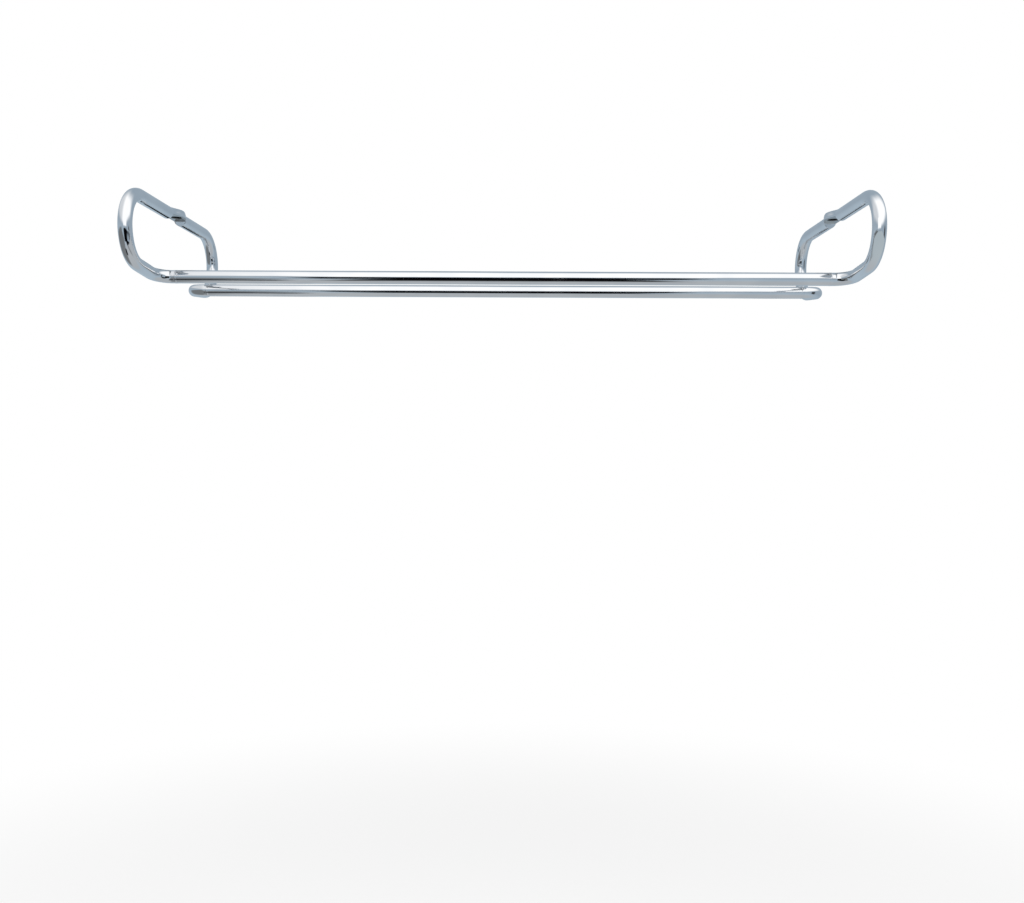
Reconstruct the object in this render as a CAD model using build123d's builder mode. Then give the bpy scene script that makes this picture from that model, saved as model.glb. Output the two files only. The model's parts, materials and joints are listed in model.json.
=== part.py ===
"""Hanging under-shelf rack of chromed steel wire.

Two straight rails leave a narrow slot between them. At each end a wide bow of the same
wire joins the rails, stands up around the open end of the rack and carries a pressed
eye, through which a screw holds the rack against the underside of a shelf.

Millimetres. +X runs along the rails, +Y from the front rail to the rear rail, +Z up.
The origin is midway between the two screw holes, on the upper faces of the eyes.
"""

from build123d import *
from math import radians, tan
import os

os.makedirs("parts", exist_ok=True)

# Driving dimensions
wire_diameter = 5.0
rack_length = 270.0
rack_width = 100.0
rail_spacing = 37.0
bar_above_rails = 27.0

# Bends of the bow, measured on the wire's centre line
corner_radius = 6.5
foot_rise = 2.3
foot_bend_radius = 11.5
leg_lean = 20.0  # degrees outwards from upright
top_bend_radius = 12.8

# Screw eyes, pressed into the middle of each bow's bar, which swell only towards the other bow
eye_diameter = 7.0
eye_offset = 1.0
eye_neck_width = 3.2
eye_neck_radius = 6.0
eye_length = 14.0
eye_thickness = 2.9
eye_top_above_bar = 2.3
eye_rim_radius = 0.9
screw_hole_radius = 2.0
countersink_radius = 2.4
eye_end_margin = 0.05

# Butt welds between the rails and the bows
weld_length = 1.2
weld_proud = 0.15
weld_edge_radius = 0.12
stub_length = 0.6

# Worked out from the driving dimensions
wire_radius = wire_diameter / 2
rail_y = rail_spacing / 2
bar_x = rack_length / 2 - wire_radius
hole_x = bar_x - eye_offset
bar_z = -eye_top_above_bar
rail_z = bar_z - bar_above_rails
top_bend_reach = top_bend_radius * tan(radians(90 + leg_lean) / 2)
top_corner_y = rack_width / 2 - wire_radius - top_bend_radius + top_bend_reach
foot_corner_y = top_corner_y - (bar_above_rails - foot_rise) * tan(radians(leg_lean))
stub_end_x = bar_x - corner_radius - stub_length
rail_end_x = stub_end_x - weld_length


def rail(y):
    """A straight length of round wire along X, cut square at the welds."""
    with BuildPart() as wire:
        with BuildSketch(Plane.YZ.offset(-rail_end_x)):
            with Locations((y, rail_z)):
                Circle(wire_radius)
        extrude(amount=2 * rail_end_x)
    return wire.part


def bow_corners(side):
    """Corners of the bow's centre line, from the front weld, up and over, to the rear weld."""
    rear_half = [
        (side * stub_end_x, rail_y, rail_z),
        (side * bar_x, rail_y, rail_z),
        (side * bar_x, foot_corner_y, rail_z + foot_rise),
        (side * bar_x, top_corner_y, bar_z),
    ]
    front_half = [(x, -y, z) for x, y, z in rear_half]
    return front_half + rear_half[::-1]


def bow(side):
    """One bent wire from rail to rail, with the screw eye pressed into its bar."""
    bends = [corner_radius, foot_bend_radius, top_bend_radius]
    with BuildPart() as wire:
        with BuildLine():
            FilletPolyline(*bow_corners(side), radius=bends + bends[::-1])
        start = Plane(origin=bow_corners(side)[0], z_dir=(side, 0, 0))
        with BuildSketch(start):
            Circle(wire_radius)
        sweep()

        # The press takes the wire down to the eye's thickness from above and from below
        for face_z, height in ((0, wire_diameter), (-eye_thickness, -wire_diameter)):
            with BuildSketch(Plane.XY.offset(face_z)):
                with Locations((side * bar_x, 0)):
                    Rectangle(2 * wire_diameter, eye_length)
            extrude(amount=height, mode=Mode.SUBTRACT)

        add(eye_plate(side))
        with Locations(Plane((side * hole_x, 0, -eye_thickness), z_dir=(0, 0, -1))):
            CounterSinkHole(screw_hole_radius, countersink_radius, depth=2 * eye_thickness)
    return wire.part


def eye_plate(side):
    """The metal that the press spreads inwards: a round plate that narrows into the wire."""
    with BuildPart(mode=Mode.PRIVATE) as plate:
        with BuildSketch(Plane.XY.offset(-eye_thickness)) as outline:
            with Locations((side * hole_x, 0)):
                Circle(eye_diameter / 2)
            with Locations((side * bar_x, 0)):
                Rectangle(eye_neck_width, eye_length)
            necks = outline.vertices().filter_by(lambda v: abs(v.Y) < eye_length / 2 - eye_rim_radius)
            fillet(necks, radius=eye_neck_radius)
        extrude(amount=eye_thickness)
        rims = plate.faces().filter_by(Axis.Z).edges().filter_by(is_rim)
        fillet(rims, radius=eye_rim_radius)
    return plate.part


def is_rim(edge):
    """True for the outline's long edges, which the press leaves rounded; its two cut ends stay sharp."""
    return abs(edge.center().Y) < eye_length / 2 - eye_end_margin


def weld(side, y):
    """The bead of a butt weld, a little prouder than the wire that it joins."""
    with BuildPart() as bead:
        with BuildSketch(Plane.YZ.offset(min(side * rail_end_x, side * stub_end_x))):
            with Locations((y, rail_z)):
                Circle(wire_radius + weld_proud)
        extrude(amount=weld_length)
        fillet(bead.edges().filter_by(GeomType.CIRCLE), radius=weld_edge_radius)
    return bead.part


def save(part, name):
    """Labels a finished piece and writes it as one STEP file."""
    part.label = name
    export_step(part, f"parts/{name}.step")


sides = {"left": -1, "right": 1}
rows = {"front": -rail_y, "rear": rail_y}

for row, y in rows.items():
    save(rail(y), f"{row}_rail")

for end, side in sides.items():
    save(bow(side), f"{end}_bow")
    for row, y in rows.items():
        save(weld(side, y), f"weld_{row}_{end}")
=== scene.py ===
"""The looks of a hanging under-shelf rack of chromed wire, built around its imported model.

Two straight rails and two end bows of the same wire, joined by four butt welds. Each bow
stands up around the open end of the rack and has an eye pressed into the middle of its bar.

Metres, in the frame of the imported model: +X runs along the rails, +Y from the front rail to
the rear rail, +Z up. The origin is midway between the two screw holes, on the upper faces
of the eyes.
"""

import json
import logging
import math
from dataclasses import dataclass
from enum import Enum

import bmesh
import bpy
import numpy as np
from mathutils import Matrix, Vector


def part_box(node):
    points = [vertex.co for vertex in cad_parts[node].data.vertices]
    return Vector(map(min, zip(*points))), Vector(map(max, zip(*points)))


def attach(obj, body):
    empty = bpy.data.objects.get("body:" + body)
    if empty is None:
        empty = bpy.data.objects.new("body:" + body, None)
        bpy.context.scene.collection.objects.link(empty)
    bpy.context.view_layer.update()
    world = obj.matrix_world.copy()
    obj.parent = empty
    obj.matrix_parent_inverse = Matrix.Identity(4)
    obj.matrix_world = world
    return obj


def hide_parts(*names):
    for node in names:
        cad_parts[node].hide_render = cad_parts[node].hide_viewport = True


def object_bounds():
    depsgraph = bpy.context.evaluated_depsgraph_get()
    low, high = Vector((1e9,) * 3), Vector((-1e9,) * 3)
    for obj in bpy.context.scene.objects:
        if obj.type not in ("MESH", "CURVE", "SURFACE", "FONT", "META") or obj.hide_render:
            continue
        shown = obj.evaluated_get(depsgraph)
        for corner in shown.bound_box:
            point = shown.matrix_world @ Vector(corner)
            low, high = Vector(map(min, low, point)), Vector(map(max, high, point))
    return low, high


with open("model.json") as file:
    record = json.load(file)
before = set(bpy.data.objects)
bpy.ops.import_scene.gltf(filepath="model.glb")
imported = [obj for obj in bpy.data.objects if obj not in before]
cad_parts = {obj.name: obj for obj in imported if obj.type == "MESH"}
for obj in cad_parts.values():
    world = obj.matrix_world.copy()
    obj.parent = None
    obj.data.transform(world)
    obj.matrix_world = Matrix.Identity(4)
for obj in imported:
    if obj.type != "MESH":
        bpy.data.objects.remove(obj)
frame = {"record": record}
cad_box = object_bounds()

log = logging.getLogger("rack")
MM = 0.001
FULL_TURN = 2.0 * math.pi
QUARTER_TURN = math.pi / 2

# Long waves that drawing and straightening leave in the wire: length, turns round it, share
DRAWN_WAVES = [(61.0 * MM, 1, 1.0), (34.0 * MM, 0, 0.7), (19.0 * MM, 2, 0.5), (11.0 * MM, 1, 0.25)]

# The least spans of a straight run and of a bend
LEAST_RUN_SPANS, LEAST_BEND_SPANS = 2, 4
# Points around a rail or a bead, and rows of the disc that closes a wire's end
POINTS_AROUND, DISC_ROWS = 96, 4
# Points of a piece that lie closer than this are one point
SAME_POINT = 0.002 * MM
SHARP_EDGE = math.radians(40.0)

# Places of the colour sockets on a Mix node
MIX_FIRST_COLOUR, MIX_SECOND_COLOUR, MIX_COLOUR_OUT = 6, 7, 2

Triple = tuple[float, float, float]
Colour = tuple[float, float, float, float]
# What a socket of a shader takes: another socket, a number, a vector or a colour
Source = bpy.types.NodeSocket | float | Triple | Colour


@dataclass(frozen=True)
class WireSizes:
    """The wire and the bends of the rack, on the wire's centre line."""

    radius: float = 2.5 * MM
    corner_radius: float = 6.5 * MM
    foot_rise: float = 2.3 * MM
    foot_bend_radius: float = 11.5 * MM
    leg_lean: float = math.radians(20.0)
    top_bend_radius: float = 12.8 * MM
    bar_above_rails: float = 27.0 * MM


@dataclass(frozen=True)
class EyeSizes:
    """The eye that is pressed flat in the middle of each bow's bar, and swells inwards only."""

    radius: float = 3.5 * MM
    offset: float = 1.0 * MM
    half_length: float = 7.0 * MM
    thickness: float = 2.9 * MM
    top_above_bar: float = 2.3 * MM
    rim_radius: float = 1.25 * MM
    hole_radius: float = 2.0 * MM
    countersink_radius: float = 2.4 * MM
    countersink_depth: float = 0.46 * MM
    edge_radius: float = 0.12 * MM
    # Width of the flat ring round the hole, which its rounded mouth takes up in part
    collar: float = 0.15 * MM

    @property
    def bottom_above_bar(self) -> float:
        """The level of the flat underside over the bar's centre line."""
        return self.top_above_bar - self.thickness


@dataclass(frozen=True)
class Places:
    """Where the pieces lie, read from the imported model."""

    rail_y: float
    rail_z: float
    rail_end_x: float
    stub_end_x: float
    bar_x: float
    half_width: float

    @classmethod
    def from_frame(cls) -> "Places":
        """Reads the nodes' boxes and the distance between the screw holes.

        Returns:
            The places.
        """
        rail_low, rail_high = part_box("rear_rail")
        bow_low, bow_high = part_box("right_bow")
        holes = next(mount for mount in frame["record"]["mounts"] if mount["name"] == "screw_eyes")
        return cls(
            rail_y=(rail_low.y + rail_high.y) / 2,
            rail_z=(rail_low.z + rail_high.z) / 2,
            rail_end_x=rail_high.x,
            stub_end_x=bow_low.x,
            bar_x=holes["dims"]["spacing_x_mm"] * MM / 2 + EyeSizes().offset,
            half_width=bow_high.y,
        )


@dataclass
class Route:
    """The centre line of a bent wire, with each bend as (first length, last length, radius)."""

    points: np.ndarray
    tangents: np.ndarray
    lengths: np.ndarray
    bends: list[Triple]


@dataclass
class Patch:
    """A grid of surface points, with each point's place along and across the wire.

    The last column joins the first where the patch is closed. The shade is how much painted shade darkens the
    plate at each point, from 0 to 1.
    """

    points: np.ndarray
    place: np.ndarray
    closed: bool = True
    shade: float | np.ndarray = 0.0

    def quads(self, first: int) -> np.ndarray:
        """Gives the corners of the grid's faces.

        The corners of cell (i, j) are the grid points (i, j), (i, j+1), (i+1, j+1) and
        (i+1, j), with j+1 taken round to 0 on a closed patch.

        Args:
            first: The number of the patch's first point in the whole mesh.

        Returns:
            An array of faces by four corners.
        """
        rows, columns = self.points.shape[:2]
        spans = columns if self.closed else columns - 1
        i, j = np.meshgrid(np.arange(rows - 1), np.arange(spans), indexing="ij")
        after = (j + 1) % columns
        corners = [i * columns + j, i * columns + after, (i + 1) * columns + after, (i + 1) * columns + j]
        return first + np.stack(corners, axis=-1).reshape(-1, 4)


def smooth_step(t: np.ndarray) -> np.ndarray:
    """Rises from 0 to 1 as 3t^2 - 2t^3, and is flat outside."""
    t = np.clip(t, 0.0, 1.0)
    return t * t * (3.0 - 2.0 * t)


def bent_route(corners: np.ndarray, radii: list[float], run_step: float, bend_step: float) -> Route:
    """Lays straight runs and tangent arcs through a list of corners.

    An arc of radius r at a corner that turns by an angle q starts r tan(q/2) before the corner.
    Its points are c + r (t sin a - n cos a), with t the run's direction, n the direction
    towards the arc's centre c, and a from 0 to q.

    Args:
        corners: The corners of the route, one row each, with its two ends.
        radii: The bend radius at each inner corner.
        run_step: The spacing of points on the straight runs.
        bend_step: The spacing of points on the bends.

    Returns:
        The route.
    """
    runs = np.diff(corners, axis=0)
    directions = runs / np.linalg.norm(runs, axis=1, keepdims=True)
    points, tangents, bends = [], [], []
    start, travelled = corners[0], 0.0
    for corner, before, after, radius in zip(corners[1:-1], directions[:-1], directions[1:], radii):
        turn = math.acos(float(np.clip(before @ after, -1.0, 1.0)))
        reach = radius * math.tan(turn / 2)
        entry = corner - before * reach
        length = float(np.linalg.norm(entry - start))
        spans = max(LEAST_RUN_SPANS, math.ceil(length / run_step))
        along = np.linspace(0.0, length, spans, endpoint=False)
        points.append(start + along[:, None] * before)
        tangents.append(np.broadcast_to(before, (len(along), 3)))
        travelled += length

        inward = after - before * (before @ after)
        inward /= np.linalg.norm(inward)
        spans = max(LEAST_BEND_SPANS, math.ceil(radius * turn / bend_step))
        angle = np.linspace(0.0, turn, spans, endpoint=False)[:, None]
        points.append(entry + radius * (inward + np.sin(angle) * before - np.cos(angle) * inward))
        tangents.append(np.cos(angle) * before + np.sin(angle) * inward)
        bends.append((travelled, travelled + radius * turn, radius))
        travelled += radius * turn
        start = corner + after * reach

    length = float(np.linalg.norm(corners[-1] - start))
    along = np.linspace(0.0, length, max(LEAST_RUN_SPANS, math.ceil(length / run_step)) + 1)
    points.append(start + along[:, None] * directions[-1])
    tangents.append(np.broadcast_to(directions[-1], (len(along), 3)))
    line = np.concatenate(points)
    steps = np.linalg.norm(np.diff(line, axis=0), axis=1)
    return Route(line, np.concatenate(tangents), np.concatenate([[0.0], np.cumsum(steps)]), bends)


def waviness(along: np.ndarray, angle: np.ndarray, depth: float, seed: int) -> np.ndarray:
    """How far the drawn wire falls short of a true cylinder, from 0 to the given depth.

    The sum of a few long sine waves that run along the wire and around it, each with a phase
    drawn from the seed, moved and scaled to lie between 0 and 1.

    Args:
        along: Distance along the wire.
        angle: Angle around the wire, in an array of the same shape.
        depth: The deepest hollow.
        seed: Chooses the waves' phases.

    Returns:
        The shortfall of the radius at each point.
    """
    phases = np.random.default_rng(seed).uniform(0.0, FULL_TURN, len(DRAWN_WAVES))
    total = sum(
        share * np.sin(FULL_TURN * along / length + turns * angle + phase)
        for (length, turns, share), phase in zip(DRAWN_WAVES, phases)
    )
    shares = sum(share for _, _, share in DRAWN_WAVES)
    return depth * (0.5 + 0.5 * total / shares)


def disc_patch(ring: np.ndarray, place: np.ndarray) -> Patch:
    """Closes a ring with a flat disc: each row is the ring drawn in towards its own centre.

    Args:
        ring: The ring's points.
        place: Their places on the wire.

    Returns:
        A closed patch whose last row is one point.
    """
    share = np.linspace(1.0, 0.0, DISC_ROWS + 1)[:, None, None]
    centre, middle = ring.mean(axis=0), place.mean(axis=0)
    return Patch(centre + share * (ring - centre), middle + share * (place - middle))


def add_object(name: str, data: bpy.types.ID) -> bpy.types.Object:
    """Puts a new object of a mesh, a lamp or a camera in the scene, at the origin."""
    bpy.context.scene.collection.objects.link(added := bpy.data.objects.new(name, data))
    return added


def piece_from_patches(name: str, patches: list[Patch]) -> bpy.types.Object:
    """Makes one closed piece from patches that meet along common edges.

    Args:
        name: The piece's name.
        patches: The grids that make up its surface.

    Returns:
        The piece, at the origin, with its places on the wire in the attribute "wire_place" and its painted
        shade in the attribute "shade".
    """
    sizes = [patch.points.shape[0] * patch.points.shape[1] for patch in patches]
    starts = np.concatenate([[0], np.cumsum(sizes)[:-1]])
    points = np.concatenate([patch.points.reshape(-1, 3) for patch in patches])
    places = np.concatenate([patch.place.reshape(-1, 3) for patch in patches])
    shades = [np.broadcast_to(patch.shade, patch.points.shape[:2]).ravel() for patch in patches]
    quads = np.concatenate([patch.quads(int(start)) for patch, start in zip(patches, starts)])

    mesh = bpy.data.meshes.new(name)
    mesh.vertices.add(len(points))
    mesh.vertices.foreach_set("co", points.astype(np.float32).ravel())
    mesh.loops.add(quads.size)
    mesh.loops.foreach_set("vertex_index", quads.astype(np.int32).ravel())
    mesh.polygons.add(len(quads))
    mesh.polygons.foreach_set("loop_start", np.arange(0, quads.size, 4, dtype=np.int32))
    wire_place = mesh.attributes.new("wire_place", "FLOAT_VECTOR", "POINT")
    wire_place.data.foreach_set("vector", places.astype(np.float32).ravel())
    shade = mesh.attributes.new("shade", "FLOAT", "POINT")
    shade.data.foreach_set("value", np.concatenate(shades).astype(np.float32))
    mesh.update(calc_edges=True)

    shell = bmesh.new()
    shell.from_mesh(mesh)
    bmesh.ops.remove_doubles(shell, verts=shell.verts, dist=SAME_POINT)
    bmesh.ops.recalc_face_normals(shell, faces=shell.faces)
    open_edges = sum(1 for edge in shell.edges if len(edge.link_faces) != 2)
    shell.to_mesh(mesh)
    shell.free()
    mesh.shade_smooth()
    mesh.set_sharp_from_angle(angle=SHARP_EDGE)
    log.info("%s: %d faces, %d open edges", name, len(mesh.polygons), open_edges)
    return add_object(name, mesh)


@dataclass
class Piece:
    """One piece of the rack. All share the places and the wire, and each has its own waves."""

    name: str
    places: Places
    wire: WireSizes
    wave_seed: int

    def surface(self) -> list[Patch]:
        """Lays out the patches of the piece's surface, which each kind of piece does itself."""
        raise NotImplementedError

    def build(self) -> bpy.types.Object:
        """Makes the piece."""
        return piece_from_patches(self.name, self.surface())


@dataclass
class StraightPiece(Piece):
    """A round piece on the line of one of the rails, with a flat disc at each end."""

    y: float

    @staticmethod
    def grid(stations: np.ndarray) -> tuple[np.ndarray, np.ndarray]:
        """Pairs each station along the piece with each angle around it."""
        angles = np.arange(POINTS_AROUND) * FULL_TURN / POINTS_AROUND
        return np.meshgrid(stations, angles, indexing="ij")

    def tube(self, x: np.ndarray, angle: np.ndarray, radius: np.ndarray) -> list[Patch]:
        """Lays out a tube along X: (x, y + r cos a, z + r sin a).

        Args:
            x: The place along X of each point of the grid.
            angle: The angle a of each point.
            radius: The radius r at each point.

        Returns:
            The tube and the discs at its ends.
        """
        across, up = radius * np.cos(angle), radius * np.sin(angle)
        points = np.stack([x, self.y + across, self.places.rail_z + up], axis=-1)
        tube = Patch(points, np.stack([x, across, up], axis=-1))
        return [tube, *(disc_patch(tube.points[row], tube.place[row]) for row in (0, -1))]


@dataclass
class Rail(StraightPiece):
    """One straight wire of the pair that the slot lies between."""

    wave_depth: float = 0.02 * MM
    ring_step: float = 1.0 * MM

    def surface(self) -> list[Patch]:
        """Lays out a tube whose radius is the wire's less its waviness.

        Returns:
            The tube and the discs at its ends.
        """
        end = self.places.rail_end_x
        rings = round(2 * end / self.ring_step) + 1
        x, angle = self.grid(np.linspace(-end, end, rings))
        shortfall = waviness(x, angle, self.wave_depth, self.wave_seed)
        return self.tube(x, angle, self.wire.radius - shortfall)


@dataclass
class WeldBead(StraightPiece):
    """The bead of a butt weld between a rail and a bow, a little prouder than the wire."""

    side: int
    proud: float = 0.045 * MM
    least_proud: float = 0.01 * MM
    rings: int = 25

    def surface(self) -> list[Patch]:
        """Lays out a barrel.

        Its radius is the wire's, plus the least that it stands proud, plus a crest that falls
        off as (1 - t^2)^2, with t from -1 to 1 along the bead. Three waves make the crest up to
        two thirds lower in places around it.

        Returns:
            The barrel and the discs at its ends.
        """
        low, high = self.places.rail_end_x, self.places.stub_end_x
        t, angle = self.grid(np.linspace(-1.0, 1.0, self.rings))
        phase = np.random.default_rng(self.wave_seed).uniform(0.0, FULL_TURN, 3)
        waves = np.sin(2 * angle + phase[0]) + np.sin(5 * angle + phase[1]) + np.sin(3 * t + angle + phase[2])
        crest = (self.proud - self.least_proud) * (2.0 / 3.0 + waves / 9.0)
        radius = self.wire.radius + self.least_proud + crest * (1.0 - t * t) ** 2
        x = (low + high) / 2 + t * (high - low) / 2
        return self.tube(self.side * x, angle, radius)


class Face(Enum):
    """The eye's two flats, each by its end of the profile of the eye's side."""

    TOP = 0
    UNDERSIDE = -1


@dataclass
class Bow(Piece):
    """One bent wire from rail to rail, with the screw eye pressed into its bar.

    A place on the wire is (along, p, q): the distance along the centre line from the eye's
    middle, and the section's own coordinates, which in the bar are +X and +Z.
    """

    side: int
    eye: EyeSizes
    wave_depth: float = 0.014 * MM
    wave_easing: float = 6.0 * MM
    bend_flattening: float = 0.045
    bend_easing: float = 3.0 * MM
    run_step: float = 1.0 * MM
    bend_step: float = 0.3 * MM
    # Spans of the section: each flat, each rounded edge of a rim, and each rim's wall
    flat_spans: int = 28
    edge_spans: int = 8
    wall_spans: int = 4
    # Spans along the eye's sides, from its edge to its hole, and of each edge of its shoulders
    eye_rows: int = 112
    flat_rows: int = 14
    shoulder_spans: int = 5
    # Spacing of points on the hole's wall and on its rounded edges
    hole_step: float = 0.2 * MM
    hole_edge_step: float = 0.03 * MM

    @property
    def bar_z(self) -> float:
        """The height of the bar's centre line."""
        return -self.eye.top_above_bar

    def in_bar(self, place: np.ndarray, closed: bool = True) -> Patch:
        """A patch of the straight bar, where (along, p, q) lies at (bar + p, along, bar + q)."""
        middle = np.array([self.side * self.places.bar_x, 0.0, self.bar_z])
        return Patch(middle + place[..., [1, 0, 2]], place, closed)

    def rear_corners(self) -> np.ndarray:
        """Works out the corners of the rear half's centre line.

        Returns:
            The corners, from the rear rail's weld to the end of the eye's shoulder.
        """
        wire, places = self.wire, self.places
        top_reach = wire.top_bend_radius * math.tan((QUARTER_TURN + wire.leg_lean) / 2)
        top_y = places.half_width - wire.radius - wire.top_bend_radius + top_reach
        foot_y = top_y - (wire.bar_above_rails - wire.foot_rise) * math.tan(wire.leg_lean)
        bar_x = self.side * places.bar_x
        return np.array([
            (self.side * places.stub_end_x, places.rail_y, places.rail_z),
            (bar_x, places.rail_y, places.rail_z),
            (bar_x, foot_y, places.rail_z + wire.foot_rise),
            (bar_x, top_y, self.bar_z),
            (bar_x, self.eye.half_length + 2 * self.eye.edge_radius, self.bar_z),
        ])

    def cut_angles(self) -> tuple[float, float]:
        """The angles on the wire's section at which the eye's flat top and flat underside cut it."""
        eye, radius = self.eye, self.wire.radius
        return math.asin(eye.top_above_bar / radius), math.asin(eye.bottom_above_bar / radius)

    def section_angles(self) -> np.ndarray:
        """Spaces the angles around the section evenly over each of the eye's flats and sides.

        Returns:
            The angles, from the end of the flat top on the +X side, over the top and round.
        """
        top, bottom = self.cut_angles()
        ends = [top, math.pi - top, math.pi - bottom, FULL_TURN + bottom, FULL_TURN + top]
        side_spans = 2 * self.edge_spans + self.wall_spans
        spans = [self.flat_spans, side_spans, self.flat_spans, side_spans]
        arcs = [np.linspace(a, b, count, endpoint=False) for a, b, count in zip(ends[:-1], ends[1:], spans)]
        return np.concatenate(arcs)

    def flattening(self, length: np.ndarray, bend: Triple) -> np.ndarray:
        """Gives the share by which a bend flattens the wire, which eases in and out at its ends.

        Args:
            length: The distance along the route at each point.
            bend: The bend, as the route gives it.

        Returns:
            The share at each point.
        """
        *ends, radius = bend
        rise, fall = (smooth_step((length - end + self.bend_easing) / (2 * self.bend_easing)) for end in ends)
        return self.bend_flattening * (self.wire.corner_radius / radius) * (rise - fall)

    def round_wire(self, half: int) -> Patch:
        """The round wire of one half of the bow, from the weld to the eye's shoulder.

        A point is c + p n1 + q n2, with c on the centre line, and n1 and n2 across it: in the
        bar n1 is +X and n2 is +Z. (p, q) is r (cos a, sin a), drawn in a little towards the
        middle of each bend. The waviness dies out towards the eye.

        Args:
            half: 1 for the rear half and -1 for the front half.

        Returns:
            A closed patch.
        """
        corners = self.rear_corners() * (1, half, 1)
        radii = [self.wire.corner_radius, self.wire.foot_bend_radius, self.wire.top_bend_radius]
        route = bent_route(corners, radii, self.run_step, self.bend_step)
        foot = (corners[2] - corners[1]) / np.linalg.norm(corners[2] - corners[1])
        in_corner = (route.lengths < route.bends[0][1])[:, None]
        upward = half * np.cross(np.where(in_corner, foot, route.tangents), (1.0, 0.0, 0.0))
        upward /= np.linalg.norm(upward, axis=1, keepdims=True)
        outward = half * np.cross(upward, route.tangents)

        angle, length = np.meshgrid(self.section_angles(), route.lengths)
        along = corners[-1, 1] + half * (route.lengths[-1] - length)
        easing = smooth_step((route.lengths[-1] - length) / self.wave_easing)
        radius = self.wire.radius - easing * waviness(along, angle, self.wave_depth, self.wave_seed)
        corner, foot_bend, top_bend = (self.flattening(length, bend) for bend in route.bends)
        p = radius * np.cos(angle) * (1.0 - corner)
        q = radius * np.sin(angle) * (1.0 - foot_bend - top_bend)
        points = route.points[:, None] + p[..., None] * outward[:, None] + q[..., None] * upward[:, None]
        return Patch(points, np.stack([along, p, q], axis=-1))

    def shoulder(self, half: int, last_ring: np.ndarray) -> Patch:
        """The step between the eye's flats and the round wire.

        Its profile is a quarter circle from level to upright, the wall, and a quarter circle
        back to level. At each ring the section is that share of the way from the neck, which
        is the round wire cut off above and below, to the last ring of the round wire.

        Args:
            half: 1 for the rear half and -1 for the front half.
            last_ring: The (along, p, q) places of the round wire's last ring.

        Returns:
            A closed patch.
        """
        eye = self.eye
        height = self.wire.radius + eye.bottom_above_bar
        turn = np.linspace(0.0, QUARTER_TURN, self.shoulder_spans + 1)
        upper = 1.0 - eye.edge_radius * (1.0 - np.cos(turn)) / height
        lower = eye.edge_radius * (1.0 - np.sin(turn)) / height
        share = np.concatenate([upper, lower])[:, None, None]
        reach = eye.edge_radius * np.concatenate([2.0 - np.sin(turn), np.cos(turn)])
        angle, radius = self.section_angles(), self.wire.radius
        level = np.clip(radius * np.sin(angle), eye.bottom_above_bar, eye.top_above_bar)
        neck = np.stack([radius * np.cos(angle), level], axis=-1)
        section = neck + share * (last_ring[:, 1:] - neck)
        along = np.broadcast_to(half * (eye.half_length + reach)[:, None, None], (*section.shape[:2], 1))
        return self.in_bar(np.concatenate([along, section], axis=-1))

    def eye_side(self, way: int) -> np.ndarray:
        """One side of the eye, from the edge of the flat top to the edge of the flat underside.

        At the eye's ends the profile is the round wire's own arc. In its middle it is the rim
        towards the flat top, which is a quarter circle, a wall and a quarter circle, and still
        the arc towards the underside. Between them each point goes a share of the way that is
        a bell (1 - t^2)^2, with t from -1 to 1 along the eye. The inner side is pushed out by
        the same bell, as far as the round of the eye about its hole.

        Args:
            way: 1 for the +X side and -1 for the other.

        Returns:
            The (along, p, q) places, by station along the bar and by point of the profile.
        """
        eye, radius, rim = self.eye, self.wire.radius, self.eye.rim_radius
        quarter = np.linspace(0.0, QUARTER_TURN, self.edge_spans + 1)
        wall = np.linspace(rim, eye.thickness - rim, self.wall_spans + 1)
        out, over = rim * (1.0 - np.sin(quarter)), rim * (1.0 - np.cos(quarter))
        inset = np.concatenate([out, 0.0 * wall[1:-1], over])
        down = np.concatenate([over, wall[1:-1], wall[-1] + rim * np.sin(quarter)])
        angle = np.linspace(*self.cut_angles(), len(inset))
        wire_side = radius * np.stack([np.cos(angle), np.sin(angle)], axis=-1)
        along = np.linspace(-eye.half_length, eye.half_length, self.eye_rows + 1)
        bell = (1.0 - (along[:, None] / eye.half_length) ** 2) ** 2
        share = bell * np.linspace(1.0, 0.0, len(inset))
        swelling = 0.0 if way == self.side else eye.offset + eye.radius - radius
        p = wire_side[:, 0] + share * (radius - inset - wire_side[:, 0]) + swelling * bell
        q = wire_side[:, 1] + share * (eye.top_above_bar - down - wire_side[:, 1])
        return np.stack([np.broadcast_to(along[:, None], p.shape), way * p, q], axis=-1)

    def flat_edge(self, face: Face) -> np.ndarray:
        """The edge of one of the eye's flats, once round, as (p, along) points.

        Args:
            face: The flat.

        Returns:
            The points, from the +X side's front end to its rear end and on round.
        """
        row = face.value
        right, left = self.eye_side(1)[:, row, 1::-1], self.eye_side(-1)[::-1, row, 1::-1]
        cut = self.cut_angles()[row]
        angle = np.linspace(cut, math.copysign(math.pi, cut) - cut, self.flat_spans + 1)[:-1]
        across = self.wire.radius * np.cos(angle)
        rear = np.stack([across, np.full_like(across, self.eye.half_length)], axis=-1)
        return np.concatenate([right[:-1], rear, left[:-1], -rear])

    def hole_circle(self, radius: float | np.ndarray) -> np.ndarray:
        """Lays out circles round the hole, with a point towards each point of the flat top's edge.

        Args:
            radius: The circle's radius, or each circle's in a row of its own.

        Returns:
            The (p, along) points.
        """
        middle = np.array([-self.side * self.eye.offset, 0.0])
        ways = self.flat_edge(Face.TOP) - middle
        return middle + ways / np.linalg.norm(ways, axis=1, keepdims=True) * radius

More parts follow.
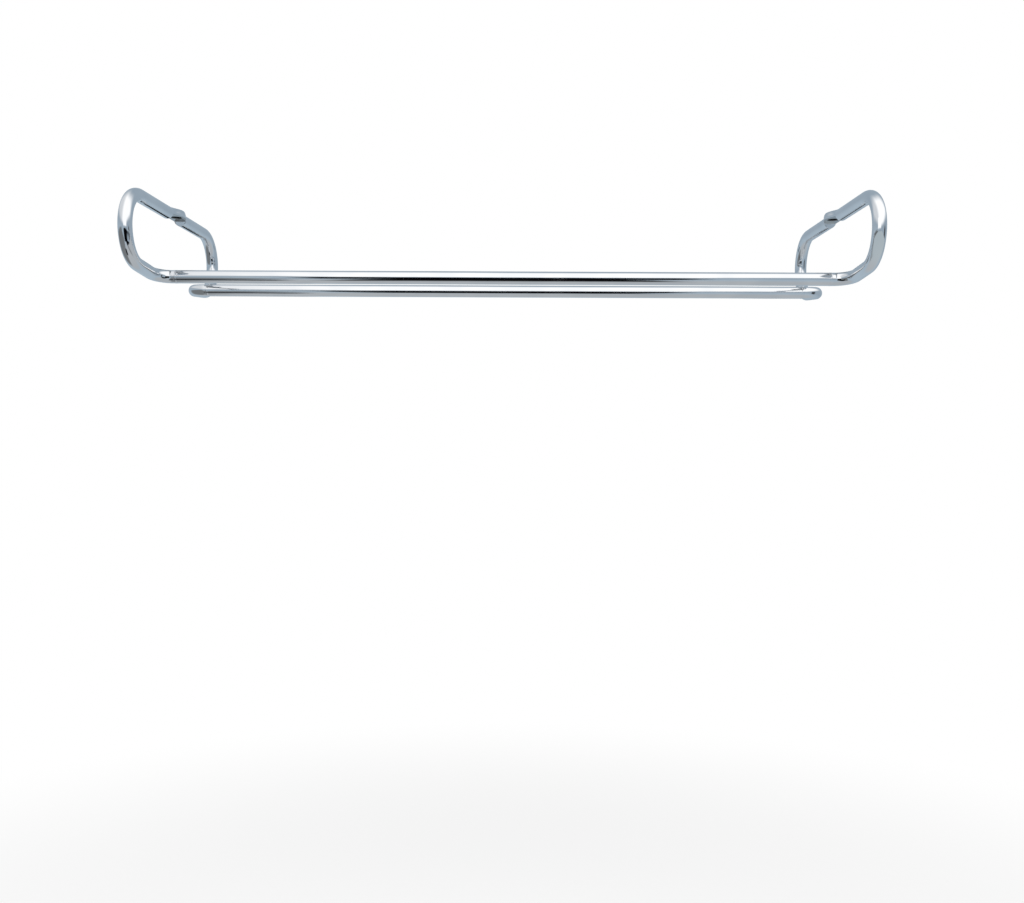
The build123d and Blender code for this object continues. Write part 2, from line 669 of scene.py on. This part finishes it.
    def flat(self, face: Face, hole_radius: float) -> Patch:
        """A flat ring of the eye, from its edge to the collar of the hole.

        Each row goes the same share of the way from the edge to the circle.

        Args:
            face: Which of the two flats.
            hole_radius: The radius of the hole's mouth on this side.

        Returns:
            A closed patch.
        """
        edge, circle = self.flat_edge(face), self.hole_circle(hole_radius + self.eye.collar)
        share = np.linspace(0.0, 1.0, self.flat_rows + 1)[:, None, None]
        rows = edge + share * (circle - edge)
        level = (self.eye.top_above_bar, self.eye.bottom_above_bar)[face.value]
        return self.in_bar(np.stack([rows[..., 1], rows[..., 0], np.full(rows.shape[:2], level)], axis=-1))

    def hole(self) -> Patch:
        """The screw hole's wall: a rounded mouth, the bore and the countersink, turned about Z.

        Returns:
            A closed patch, with painted shade on it between its two mouths.
        """
        eye = self.eye
        top, bottom = eye.top_above_bar, eye.bottom_above_bar
        corners = np.array([
            (eye.hole_radius + eye.collar, 0.0, top),
            (eye.hole_radius, 0.0, top),
            (eye.hole_radius, 0.0, bottom + eye.countersink_depth),
            (eye.countersink_radius, 0.0, bottom),
            (eye.countersink_radius + eye.collar, 0.0, bottom),
        ])
        profile = bent_route(corners, [eye.edge_radius] * 3, self.hole_step, self.hole_edge_step).points
        circles = self.hole_circle(profile[:, None, :1])
        level = np.broadcast_to(profile[:, None, 2], circles.shape[:2])
        wall = self.in_bar(np.stack([circles[..., 1], circles[..., 0], level], axis=-1))
        # Painted shade on the bore, fading out towards both mouths
        above, under = (level - bottom) / eye.edge_radius, (top - level) / eye.edge_radius
        wall.shade = smooth_step(above) * smooth_step(under)
        return wall

    def surface(self) -> list[Patch]:
        """Lays out the pressed eye, then both halves of the wire.

        Returns:
            The eye's sides, flats and hole, then each half with its end and its shoulder.
        """
        eye = self.eye
        patches = [self.in_bar(self.eye_side(way), closed=False) for way in (1, -1)]
        patches += [self.flat(Face.TOP, eye.hole_radius), self.flat(Face.UNDERSIDE, eye.countersink_radius)]
        patches.append(self.hole())
        for half in (1, -1):
            wire = self.round_wire(half)
            patches += [wire, disc_patch(wire.points[0], wire.place[0]), self.shoulder(half, wire.place[-1])]
        return patches


@dataclass(frozen=True)
class Viewpoint:
    """Where the photograph was taken from, fitted to the rack's outline in it."""

    position: Triple = (8.08 * MM, -385.09 * MM, -85.00 * MM)
    yaw: float = 0.0108
    pitch: float = -0.0287
    roll: float = -0.0056
    focal_pixels: float = 955.7
    picture_width: int = 1024
    sensor_width: float = 36.0
    nearest: float = 0.01
    farthest: float = 50.0

    def build(self) -> None:
        """Makes the camera: yaw about Z, then pitch about X, then roll about its line of sight."""
        data = bpy.data.cameras.new("camera")
        data.sensor_width = self.sensor_width
        data.lens = self.focal_pixels * self.sensor_width / self.picture_width
        data.clip_start, data.clip_end = self.nearest, self.farthest
        camera = add_object("camera", data)
        upright = Matrix.Rotation(QUARTER_TURN, 4, "X")
        turn = Matrix.Rotation(self.yaw, 4, "Z") @ Matrix.Rotation(self.pitch, 4, "X")
        turn = turn @ Matrix.Rotation(self.roll, 4, "Y")
        camera.matrix_world = Matrix.Translation(self.position) @ turn @ upright
        bpy.context.scene.camera = camera


class Channel(Enum):
    """The kinds of socket that the shader groups have."""

    VECTOR = "NodeSocketVector"
    NUMBER = "NodeSocketFloat"


class ShaderTree:
    """A hand for placing and joining the nodes of one shader tree."""

    def __init__(self, tree: bpy.types.NodeTree, owner: bpy.types.ID | None = None) -> None:
        """Starts on a tree, of a material or world where it has an owner, and empties it."""
        self.tree, self.owner = tree, owner
        tree.nodes.clear()

    @classmethod
    def of(cls, owner: bpy.types.Material | bpy.types.World) -> "ShaderTree":
        """Turns on the nodes of a material or a world, and starts on them."""
        owner.use_nodes = True
        return cls(owner.node_tree, owner)

    def feed(self, target: bpy.types.NodeSocket, source: Source) -> None:
        """Links a socket to another socket, or sets it to a plain value.

        Args:
            target: The socket that takes it.
            source: The other socket or the value.
        """
        if isinstance(source, bpy.types.NodeSocket):
            self.tree.links.new(source, target)
        else:
            target.default_value = source

    def add(
        self, kind: str, sources: dict[str | int, Source] | None = None, **settings: object
    ) -> bpy.types.Node:
        """Places a node.

        Args:
            kind: The node's type, such as "ShaderNodeBump".
            sources: What its inputs take, by their names or numbers.
            **settings: Its properties by name.

        Returns:
            The node.
        """
        node = self.tree.nodes.new(kind)
        for name, value in settings.items():
            setattr(node, name, value)
        for name, source in (sources or {}).items():
            self.feed(node.inputs[name], source)
        return node

    def end(self, shader: Source, kind: str = "ShaderNodeOutputMaterial") -> bpy.types.ID:
        """Ends the tree with a shader as its surface, and gives the finished owner."""
        self.add(kind, {"Surface": shader})
        return self.owner

    def effect(self, group: bpy.types.NodeTree, *sources: Source) -> bpy.types.NodeOutputs:
        """Places a node group, feeds its inputs in their order, and gives its outputs."""
        return self.add("ShaderNodeGroup", dict(enumerate(sources)), node_tree=group).outputs

    def attribute(self, name: str, output: str = "Vector") -> bpy.types.NodeSocket:
        """Gives an attribute of the mesh."""
        return self.add("ShaderNodeAttribute", attribute_name=name).outputs[output]

    def math(self, operation: str, *values: Source) -> bpy.types.NodeSocket:
        """Gives the result of one sum on numbers or sockets."""
        return self.add("ShaderNodeMath", dict(enumerate(values)), operation=operation).outputs[0]

    def axes(self, vector: Source) -> list[bpy.types.NodeSocket]:
        """Gives a vector's three numbers."""
        return list(self.add("ShaderNodeSeparateXYZ", {"Vector": vector}).outputs)

    def scaled(self, vector: Source, scale: Source) -> bpy.types.NodeSocket:
        """Gives a vector times another, axis by axis."""
        return self.add("ShaderNodeVectorMath", {0: vector, 1: scale}, operation="MULTIPLY").outputs["Vector"]

    def noise(
        self, place: Source, rates: tuple[Source, Source], detail: float, roughness: float
    ) -> bpy.types.NodeSocket:
        """Gives a soft noise about 0.5 at a place on the wire.

        Args:
            place: The place.
            rates: Its swells to a metre, along the wire and across it.
            detail: How many finer layers it has.
            roughness: How strong each is beside the last.

        Returns:
            The noise.
        """
        along, across = rates
        scale = self.add("ShaderNodeCombineXYZ", {"X": along, "Y": across, "Z": across}).outputs["Vector"]
        place = self.scaled(place, scale)
        sources = {"Vector": place, "Scale": 1.0, "Detail": detail, "Roughness": roughness}
        return self.add("ShaderNodeTexNoise", sources, noise_dimensions="3D").outputs["Fac"]

    def eased(
        self, value: Source, limits: tuple[Source, Source], low: float = 0.0, high: float = 1.0
    ) -> bpy.types.NodeSocket:
        """Gives a smooth rise, or a fall, that is level outside its limits.

        Args:
            value: The number that it goes by.
            limits: Where it starts and where it ends.
            low: The result before it starts.
            high: The result after it ends.

        Returns:
            The result.
        """
        start, end = limits
        sources = {"Value": value, "From Min": start, "From Max": end, "To Min": low, "To Max": high}
        node = self.add("ShaderNodeMapRange", sources, interpolation_type="SMOOTHSTEP", clamp=True)
        return node.outputs["Result"]

    def mixed(self, share: Source, first: Source, second: Source) -> bpy.types.NodeSocket:
        """Gives a colour a share of the way from the first to the second."""
        sources = {"Factor": share, MIX_FIRST_COLOUR: first, MIX_SECOND_COLOUR: second}
        return self.add("ShaderNodeMix", sources, data_type="RGBA").outputs[MIX_COLOUR_OUT]

    def glow(self, colour: Source) -> bpy.types.NodeSocket:
        """Gives a shader that shines in a colour."""
        return self.add("ShaderNodeEmission", {"Color": colour}).outputs["Emission"]

    def blended(self, share: Source, first: Source, second: Source) -> bpy.types.NodeSocket:
        """Gives a shader a share of the way from the first to the second."""
        return self.add("ShaderNodeMixShader", {"Fac": share, 1: first, 2: second}).outputs["Shader"]


class SurfaceEffects:
    """The node groups that every plated finish shares. Lengths and heights are in metres."""

    # How fast swells come along the wire for each across it, and where their tone changes
    SWELL_RATE_ALONG = 0.4
    SWELL_TONES = (0.3, 0.7)
    # Where smears begin and are full, and the same for hairlines
    SMEARS = (0.45, 0.75)
    HAIRLINES = (0.66, 0.74)
    # Hairlines to a metre along and across the wire, and how much each dulls it
    HAIRLINE_RATES = (9000.0, 700.0)
    HAIRLINE_DULLING = 0.6
    # The share of a pit's size from which it fades
    PIT_CORE = 0.5

    def __init__(self) -> None:
        """Builds each group once."""
        self.drawn_grain = self.build_drawn_grain()
        self.plating_ripple = self.build_plating_ripple()
        self.handling_wear = self.build_handling_wear()
        self.pits = self.build_pits()

    @staticmethod
    def start(
        name: str, inputs: list[str], outputs: list[str]
    ) -> tuple[ShaderTree, bpy.types.NodeOutputs, bpy.types.NodeInputs]:
        """Starts a group that reads a place on the wire.

        Args:
            name: The group's name.
            inputs: Its number inputs, which follow the vector input "Place".
            outputs: Its number outputs.

        Returns:
            The group's hand, its inputs by name, and the sockets that its outputs leave by.
        """
        tree = bpy.data.node_groups.new(name, "ShaderNodeTree")
        tree.interface.new_socket("Place", in_out="INPUT", socket_type=Channel.VECTOR.value)
        for label in inputs:
            tree.interface.new_socket(label, in_out="INPUT", socket_type=Channel.NUMBER.value)
        for label in outputs:
            tree.interface.new_socket(label, in_out="OUTPUT", socket_type=Channel.NUMBER.value)
        hand = ShaderTree(tree)
        return hand, hand.add("NodeGroupInput").outputs, hand.add("NodeGroupOutput").inputs

    def build_drawn_grain(self) -> bpy.types.NodeTree:
        """Makes the fine lines along the wire that the drawing die leaves, under the plating.

        Returns:
            The group.
        """
        hand, given, taken = self.start("drawn_grain", ["Depth", "Line length", "Line width"], ["Height"])
        along, across = (hand.math("DIVIDE", 1.0, given[size]) for size in ("Line length", "Line width"))
        lines = hand.noise(given["Place"], (along, across), detail=3.0, roughness=0.6)
        hand.feed(taken["Height"], hand.math("MULTIPLY", lines, given["Depth"]))
        return hand.tree

    def build_plating_ripple(self) -> bpy.types.NodeTree:
        """Makes low swells in the plating, a little longer along the wire than across it.

        Returns:
            The group.
        """
        hand, given, taken = self.start("plating_ripple", ["Depth", "Swell"], ["Height", "Tone"])
        rate = hand.math("DIVIDE", 1.0, given["Swell"])
        rates = (hand.math("MULTIPLY", rate, self.SWELL_RATE_ALONG), rate)
        swell = hand.noise(given["Place"], rates, detail=1.5, roughness=0.4)
        hand.feed(taken["Height"], hand.math("MULTIPLY", swell, given["Depth"]))
        hand.feed(taken["Tone"], hand.eased(swell, self.SWELL_TONES))
        return hand.tree

    def build_handling_wear(self) -> bpy.types.NodeTree:
        """Makes the marks of handling: soft smears, and hairlines that run around the wire.

        Returns:
            The group.
        """
        hand, given, taken = self.start("handling_wear", ["Smear size"], ["Dulling"])
        rate = hand.math("DIVIDE", 1.0, given["Smear size"])
        smears = hand.noise(given["Place"], (rate, rate), detail=4.0, roughness=0.6)
        hairs = hand.noise(given["Place"], self.HAIRLINE_RATES, detail=2.0, roughness=0.7)
        hairs = hand.eased(hairs, self.HAIRLINES, high=self.HAIRLINE_DULLING)
        hand.feed(taken["Dulling"], hand.math("MAXIMUM", hand.eased(smears, self.SMEARS), hairs))
        return hand.tree

    def build_pits(self) -> bpy.types.NodeTree:
        """Makes a few tiny dark pits in the plating: the middles of some cells of a pattern.

        Returns:
            The group.
        """
        hand, given, taken = self.start("pits", ["Spacing", "Pit size", "Share"], ["Mask"])
        place = hand.scaled(given["Place"], hand.math("DIVIDE", 1.0, given["Spacing"]))
        cells = hand.add(
            "ShaderNodeTexVoronoi", {"Vector": place, "Scale": 1.0}, voronoi_dimensions="3D", feature="F1"
        ).outputs
        size = hand.math("DIVIDE", given["Pit size"], given["Spacing"])
        near = hand.eased(cells["Distance"], (hand.math("MULTIPLY", size, self.PIT_CORE), size), 1.0, 0.0)
        chance = hand.add("ShaderNodeSeparateColor", {"Color": cells["Color"]}).outputs[0]
        picked = hand.math("LESS_THAN", chance, given["Share"])
        hand.feed(taken["Mask"], hand.math("MULTIPLY", near, picked))
        return hand.tree


@dataclass(frozen=True)
class Coat:
    """What a finish feeds its shader."""

    colour: bpy.types.NodeSocket
    roughness: bpy.types.NodeSocket
    height: bpy.types.NodeSocket


@dataclass(frozen=True)
class PlatedFinish:
    """Chrome plate on steel. Heights are in metres, and colours are linear."""

    name: str
    tone: Colour = (0.80, 0.805, 0.815, 1.0)
    cool_tone: Colour = (0.745, 0.76, 0.78, 1.0)
    pit_tone: Colour = (0.06, 0.06, 0.065, 1.0)
    smooth: float = 0.07
    dull: float = 0.16
    grain_depth: float = 0.0004 * MM
    grain_length: float = 22.0 * MM
    grain_width: float = 0.22 * MM
    ripple_depth: float = 0.008 * MM
    swell: float = 4.0 * MM
    smear_size: float = 14.0 * MM
    pit_spacing: float = 3.2 * MM
    pit_size: float = 0.16 * MM
    pit_share: float = 0.12

    def coat(self, hand: ShaderTree, effects: SurfaceEffects) -> Coat:
        """Lays on the plate, by the place on the wire in the attribute "wire_place".

        Args:
            hand: The material's hand.
            effects: The shared node groups.

        Returns:
            The plate's colour, roughness and height.
        """
        place = hand.attribute("wire_place")
        grain = hand.effect(effects.drawn_grain, place, self.grain_depth, self.grain_length, self.grain_width)
        ripple = hand.effect(effects.plating_ripple, place, self.ripple_depth, self.swell)
        wear = hand.effect(effects.handling_wear, place, self.smear_size)
        pits = hand.effect(effects.pits, place, self.pit_spacing, self.pit_size, self.pit_share)
        plate = hand.mixed(ripple["Tone"], self.tone, self.cool_tone)
        return Coat(
            colour=hand.mixed(pits["Mask"], plate, self.pit_tone),
            roughness=hand.eased(wear["Dulling"], (0.0, 1.0), self.smooth, self.dull),
            height=hand.math("ADD", grain["Height"], ripple["Height"]),
        )

    def material(self, effects: SurfaceEffects) -> bpy.types.Material:
        """Builds the finish's material.

        The shader's constants are on its own sockets, and its coat feeds the rest.

        Args:
            effects: The shared node groups.

        Returns:
            The material.
        """
        hand = ShaderTree.of(bpy.data.materials.new(self.name))
        coat = self.coat(hand, effects)
        bump = hand.add("ShaderNodeBump", {"Strength": 1.0, "Distance": 1.0, "Height": coat.height})
        sources = {"Metallic": 1.0, "Base Color": coat.colour, "Roughness": coat.roughness}
        shader = hand.add("ShaderNodeBsdfPrincipled", {**sources, "Normal": bump.outputs["Normal"]})
        return hand.end(shader.outputs["BSDF"])


@dataclass(frozen=True)
class PressedFinish(PlatedFinish):
    """The plate of a bow, which the press has dulled on the underside of its eye, with painted shade
    darkening that flat underside.
    """

    eye: EyeSizes = EyeSizes()
    pressed_rough: float = 0.11
    # Painted shade that darkens the eye's flat underside
    painted_flat_shade_tone: Colour = (0.33, 0.345, 0.35, 1.0)
    # Painted shade deep in the screw hole, on the bore between its mouths
    painted_hole_shade_tone: Colour = (0.05, 0.052, 0.055, 1.0)
    # How soon the press mark and the painted shade on the flat underside end along the bar, and from and to
    # where the painted shade fades out over the flat underside
    end_fade: float = 0.1 * MM
    level_fade: tuple[float, float] = (0.03 * MM, 0.12 * MM)

    def coat(self, hand: ShaderTree, effects: SurfaceEffects) -> Coat:
        """Lays on the plate, the press mark over it, painted shade on the eye's flat underside, and painted
        shade in the screw hole.

        Args:
            hand: The material's hand.
            effects: The shared node groups.

        Returns:
            The colour, roughness and height of both.
        """
        plate = super().coat(hand, effects)
        along, _, height = hand.axes(hand.attribute("wire_place"))
        end, level = self.eye.half_length, self.eye.bottom_above_bar
        pressed = hand.eased(hand.math("ABSOLUTE", along), (end - self.end_fade, end), 1.0, 0.0)
        under = hand.eased(height, (level + self.level_fade[0], level + self.level_fade[1]), 1.0, 0.0)
        # Painted shade darkens the flat underside of the eye
        colour = hand.mixed(hand.math("MULTIPLY", pressed, under), plate.colour, self.painted_flat_shade_tone)
        extra = hand.math("MULTIPLY", pressed, self.pressed_rough - self.smooth)
        return Coat(
            # Painted shade darkens the bore of the screw hole
            colour=hand.mixed(hand.attribute("shade", "Fac"), colour, self.painted_hole_shade_tone),
            roughness=hand.math("ADD", plate.roughness, extra),
            height=hand.math("MULTIPLY", plate.height, hand.math("SUBTRACT", 1.0, pressed)),
        )


class Tone(Enum):
    """How a part of the studio looks in a perfect mirror, 1 being white."""

    BRIGHT = (1.28, 1.28, 1.28, 1.0)
    SOFT = (0.78, 0.81, 0.84, 1.0)
    PALE = (0.50, 0.53, 0.555, 1.0)
    MIST = (0.50, 0.57, 0.605, 1.0)
    HAZE = (0.455, 0.555, 0.64, 1.0)
    SLATE = (0.37, 0.45, 0.525, 1.0)
    GREY = (0.20, 0.215, 0.225, 1.0)
    DIM = (0.06, 0.065, 0.07, 1.0)
    BLACK = (0.003, 0.003, 0.004, 1.0)


WHITE = (1.0, 1.0, 1.0, 1.0)
# The corners of a sheet, as shares of its half sides, and its one face
SHEET_SIGNS = ((-1.0, -1.0), (1.0, -1.0), (1.0, 1.0), (-1.0, 1.0))
SHEET_FACE = [(0, 1, 2, 3)]


def sheet_corners(centre: Triple, half_across: Triple, half_up: Triple) -> list[Triple]:
    """The corners of a sheet: its centre plus and minus its two half sides."""
    middle, across, up = np.array([centre, half_across, half_up])
    return [tuple(middle + a * across + b * up) for a, b in SHEET_SIGNS]


def stage_piece(
    name: str, corners: list[Triple], faces: list[tuple[int, ...]], material: bpy.types.Material
) -> bpy.types.Object:
    """Makes a flat-sided piece of the studio.

    Args:
        name: Its name.
        corners: Its corners.
        faces: The corners of each face.
        material: Its material.

    Returns:
        The piece.
    """
    mesh = bpy.data.meshes.new(name)
    mesh.from_pydata(corners, [], faces)
    mesh.materials.append(material)
    piece = add_object(name, mesh)
    return piece


def only_in_metal(piece: bpy.types.Object) -> None:
    """Hides a shining piece of the studio from everything but reflections."""
    piece.visible_camera = piece.visible_diffuse = piece.visible_shadow = False
    piece.active_material.cycles.emission_sampling = "NONE"


@dataclass(frozen=True)
class Card:
    """A flat card with feathered edges, which only the metal sees."""

    name: str
    tone: Tone
    centre: Triple
    half_across: Triple
    half_up: Triple
    feather: float

    def build(self) -> None:
        """Makes the card, with how far across and up it each corner lies in "card_place"."""
        corners = sheet_corners(self.centre, self.half_across, self.half_up)
        card = stage_piece(self.name, corners, SHEET_FACE, self.material())
        place = card.data.attributes.new("card_place", "FLOAT_VECTOR", "POINT")
        place.data.foreach_set("vector", [number for a, b in SHEET_SIGNS for number in (a, b, 0.0)])
        only_in_metal(card)

    def material(self) -> bpy.types.Material:
        """Builds the card's material: its tone in the middle, fading out over its outer share.

        Returns:
            The material.
        """
        hand = ShaderTree.of(bpy.data.materials.new(self.name))
        edges = [hand.math("ABSOLUTE", axis) for axis in hand.axes(hand.attribute("card_place"))[:2]]
        shares = [hand.eased(edge, (1.0 - self.feather, 1.0), 1.0, 0.0) for edge in edges]
        clear = hand.add("ShaderNodeBsdfTransparent").outputs["BSDF"]
        return hand.end(hand.blended(hand.math("MULTIPLY", *shares), clear, hand.glow(self.tone.value)))


# Dark shapes before, below, beside and behind the rack, a bright reflector before it, and pale
# screens level with its rails. Each has its tone, centre, half sides and feathered share.
CARDS = [
    Card("dark_front", Tone.BLACK, (-0.01, -0.36, -0.138), (0.165, 0.0, 0.0), (0.0, 0.0, 0.107), 0.2),
    Card("dark_sheet", Tone.BLACK, (-0.002, -0.19, -0.145), (0.09, 0.0, 0.0), (0.0, -0.165, -0.065), 0.25),
    Card("reflector", Tone.BRIGHT, (0.0, -0.37, 0.10), (0.18, 0.0, 0.0), (0.0, 0.0, 0.12), 0.3),
    Card("left_flag", Tone.GREY, (-0.41, -0.27, -0.20), (0.0, 0.48, 0.0), (-0.19, 0.0, 0.23), 0.3),
    Card("right_flag", Tone.DIM, (0.45, -0.18, -0.08), (0.0, 0.107, 0.0), (0.0, 0.0, 0.15), 0.5),
    Card("low_strip", Tone.BLACK, (-0.203, -0.164, -0.292), (0.058, 0.0, 0.0), (0.0, 0.058, -0.032), 0.4),
    Card("left_shade", Tone.BLACK, (-0.088, -0.17, -0.03), (0.04, 0.0, 0.0), (0.0, 0.124, 0.0), 0.4),
    Card("left_screen", Tone.PALE, (-0.0875, -0.0415, -0.0297), (0.0425, 0.0, 0.0), (0.0, 0.0135, 0.0), 0.15),
    Card("right_screen", Tone.MIST, (0.115, -0.12, -0.0297), (0.075, 0.0, 0.0), (0.0, 0.08, 0.0), 0.1),
    Card(
        "left_line", Tone.BLACK, (-0.168, 0.239, -0.097),
        (0.0392, 0.0, -0.015), (-0.0197, 0.0689, 0.0076), 0.25,
    ),
    Card(
        "right_line", Tone.DIM, (0.1715, 0.239, -0.0968),
        (0.0184, 0.0, 0.0078), (0.0065, 0.0689, 0.0028), 0.3,
    ),
]


@dataclass(frozen=True)
class Tent:
    """The studio's cloth tent, a box round the rack that only the metal sees.

    It is bright in front and above, and passes softly into blue-grey behind and below. Its
    tones go by the direction from the rack, given as right, rear and up, each from -1 to 1.
    """

    half: float = 1.2
    top: float = 1.2
    bottom: float = -0.44
    # Where the bright front fades to the rear, how much sooner overhead, and later on the left
    rear_fade: tuple[float, float] = (-0.05, 0.6)
    overhead_power: float = 4.0
    sooner_overhead: float = 0.25
    later_left: float = 0.28
    # Where it starts above the rack and how deep it fades in, and how much more aside
    start: float = 0.02
    depth: float = 0.24
    start_aside: float = 0.22
    depth_aside: float = 0.08
    # Where it brightens from the left
    left_fade: tuple[float, float] = (-0.65, -0.15)
    # Where haze passes into slate, how much lower on the right, and where pale passes into both
    slate_fade: tuple[float, float] = (-0.45, 0.1)
    lower_right: float = 0.3
    pale_fade: tuple[float, float] = (-0.9, -0.45)

    def build(self) -> None:
        """Makes its six sides."""
        far = self.half
        ground = ((-far, -far), (far, -far), (far, far), (-far, far))
        corners = [(x, y, z) for z in (self.bottom, self.top) for x, y in ground]
        faces = [(0, 1, 2, 3), (4, 5, 6, 7), (0, 1, 5, 4), (1, 2, 6, 5), (2, 3, 7, 6), (3, 0, 4, 7)]
        only_in_metal(stage_piece("tent", corners, faces, self.material()))

    def material(self) -> bpy.types.Material:
        """Builds the cloth's material.

        Returns:
            The material.
        """
        hand = ShaderTree.of(bpy.data.materials.new("tent"))
        place = hand.add("ShaderNodeTexCoord").outputs["Object"]
        direction = hand.add("ShaderNodeVectorMath", {0: place}, operation="NORMALIZE").outputs["Vector"]
        right, rear, up = hand.axes(direction)

        overhead = hand.math("POWER", hand.math("MAXIMUM", up, 0.0), self.overhead_power)
        reach = hand.math("MULTIPLY_ADD", overhead, self.sooner_overhead, rear)
        reach = hand.math("MULTIPLY_ADD", hand.math("MINIMUM", right, 0.0), self.later_left, reach)
        front = hand.eased(reach, self.rear_fade, 1.0, 0.0)
        aside = hand.math("MULTIPLY", right, right)
        start = hand.math("MULTIPLY_ADD", aside, self.start_aside, self.start)
        full = hand.math("MULTIPLY_ADD", aside, self.depth_aside, hand.math("ADD", start, self.depth))
        above = hand.eased(up, (start, full))
        bright = hand.mixed(hand.eased(right, self.left_fade), Tone.SOFT.value, Tone.BRIGHT.value)

        height = hand.math("MULTIPLY_ADD", right, self.lower_right, up)
        below = hand.mixed(hand.eased(height, self.slate_fade), Tone.HAZE.value, Tone.SLATE.value)
        below = hand.mixed(hand.eased(up, self.pale_fade), Tone.PALE.value, below)
        return hand.end(hand.glow(hand.mixed(hand.math("MULTIPLY", above, front), below, bright)))


@dataclass(frozen=True)
class Studio:
    """A white studio: a pale floor, a large softbox, and a tent and cards round the metal."""

    floor_below: float = 0.45
    floor_half: float = 12.0
    floor_tone: Colour = (0.93, 0.93, 0.93, 1.0)
    # Distances from the rack between which the floor fades to plain white
    floor_fade: tuple[float, float] = (0.35, 0.9)
    softbox_middle: Triple = (0.0, -0.45, 0.80)
    softbox_size: tuple[float, float] = (2.8, 2.7)
    softbox_radiance: float = 1.35
    fill: float = 0.15

    def build(self) -> None:
        """Makes the whole studio."""
        self.world()
        self.floor()
        self.softbox()
        for part in (Tent(), *CARDS):
            part.build()

    @staticmethod
    def seen_directly(hand: ShaderTree) -> bpy.types.NodeSocket:
        """Gives 1 to the camera's rays and to those that the metal reflects, and 0 to the rest."""
        path = hand.add("ShaderNodeLightPath").outputs
        return hand.math("MAXIMUM", path["Is Camera Ray"], path["Is Glossy Ray"])

    def world(self) -> None:
        """Makes the world: white to the camera and the metal, and a low fill for all else."""
        hand = ShaderTree.of(bpy.data.worlds.new("studio"))
        strength = hand.math("MULTIPLY_ADD", self.seen_directly(hand), 1.0 - self.fill, self.fill)
        background = hand.add("ShaderNodeBackground", {"Color": WHITE, "Strength": strength})
        bpy.context.scene.world = hand.end(background.outputs["Background"], "ShaderNodeOutputWorld")

    def floor(self) -> None:
        """Makes a matt pale floor that keeps the rack's shadow, and fades to white far off."""
        hand = ShaderTree.of(bpy.data.materials.new("floor"))
        level_place = hand.scaled(hand.add("ShaderNodeTexCoord").outputs["Object"], (1.0, 1.0, 0.0))
        distance = hand.add("ShaderNodeVectorMath", {0: level_place}, operation="LENGTH").outputs["Value"]
        far = hand.eased(distance, self.floor_fade)
        matt = hand.add("ShaderNodeBsdfDiffuse", {"Color": self.floor_tone}).outputs["BSDF"]
        share = hand.math("MULTIPLY", far, self.seen_directly(hand))
        material = hand.end(hand.blended(share, matt, hand.glow(WHITE)))
        half, level = self.floor_half, cad_box[0].z - self.floor_below
        corners = sheet_corners((0.0, 0.0, level), (half, 0.0, 0.0), (0.0, half, 0.0))
        stage_piece("floor", corners, SHEET_FACE, material)

    def softbox(self) -> None:
        """Makes the large soft lamp overhead, which the tent stands for in the metal.

        An area lamp's power is four times its radiance times its area.
        """
        data = bpy.data.lights.new("softbox", "AREA")
        data.shape = "RECTANGLE"
        data.size, data.size_y = self.softbox_size
        data.energy = 4.0 * self.softbox_radiance * data.size * data.size_y
        lamp = add_object("softbox", data)
        lamp.location = self.softbox_middle
        lamp.visible_camera = lamp.visible_glossy = False


@dataclass
class Rack:
    """The whole rack: its two rails, its two bows and the four beads that join them."""

    places: Places
    wire: WireSizes = WireSizes()
    eye: EyeSizes = EyeSizes()

    def build(self) -> None:
        """Makes every piece, dresses it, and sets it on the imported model."""
        effects = SurfaceEffects()
        plate, pressed, weld = (finish.material(effects) for finish in (
            PlatedFinish("chrome_plate"),
            PressedFinish("chrome_plate_pressed", eye=self.eye),
            PlatedFinish("plated_weld", ripple_depth=0.03 * MM, swell=1.4 * MM, smooth=0.1, dull=0.24),
        ))
        places, wire, rows = self.places, self.wire, {"front": -1, "rear": 1}
        for row, way in rows.items():
            rail = Rail(f"{row}_rail_wire", places, wire, 10 + way, way * places.rail_y)
            self.set_piece(rail.build(), plate, "chrome_plate", f"{row}_rail")
        for end, side in {"left": -1, "right": 1}.items():
            bow = Bow(f"{end}_bow_wire", places, wire, 20 + side, side, self.eye)
            self.set_piece(bow.build(), pressed, "chrome_plate", f"{end}_bow")
            for row, way in rows.items():
                name, seed = f"{row}_{end}_weld_bead", 30 + side + 3 * way
                bead = WeldBead(name, places, wire, seed, way * places.rail_y, side)
                self.set_piece(bead.build(), weld, "plated_weld", f"weld_{row}_{end}")

    @staticmethod
    def set_piece(piece: bpy.types.Object, finish: bpy.types.Material, slot: str, node: str) -> None:
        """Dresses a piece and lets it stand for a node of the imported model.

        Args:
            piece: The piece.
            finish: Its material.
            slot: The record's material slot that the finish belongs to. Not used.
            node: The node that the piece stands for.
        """
        piece.data.materials.append(finish)
        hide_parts(node)
        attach(piece, "root")
        log.info("%s stands for %s", piece.name, node)


def main() -> None:
    """Builds the rack, the studio and the camera."""
    logging.basicConfig(level=logging.INFO, format="%(name)s: %(message)s")
    bpy.context.scene.view_settings.view_transform = "Standard"
    Rack(Places.from_frame()).build()
    Studio().build()
    Viewpoint().build()


if __name__ == "__main__":
    main()
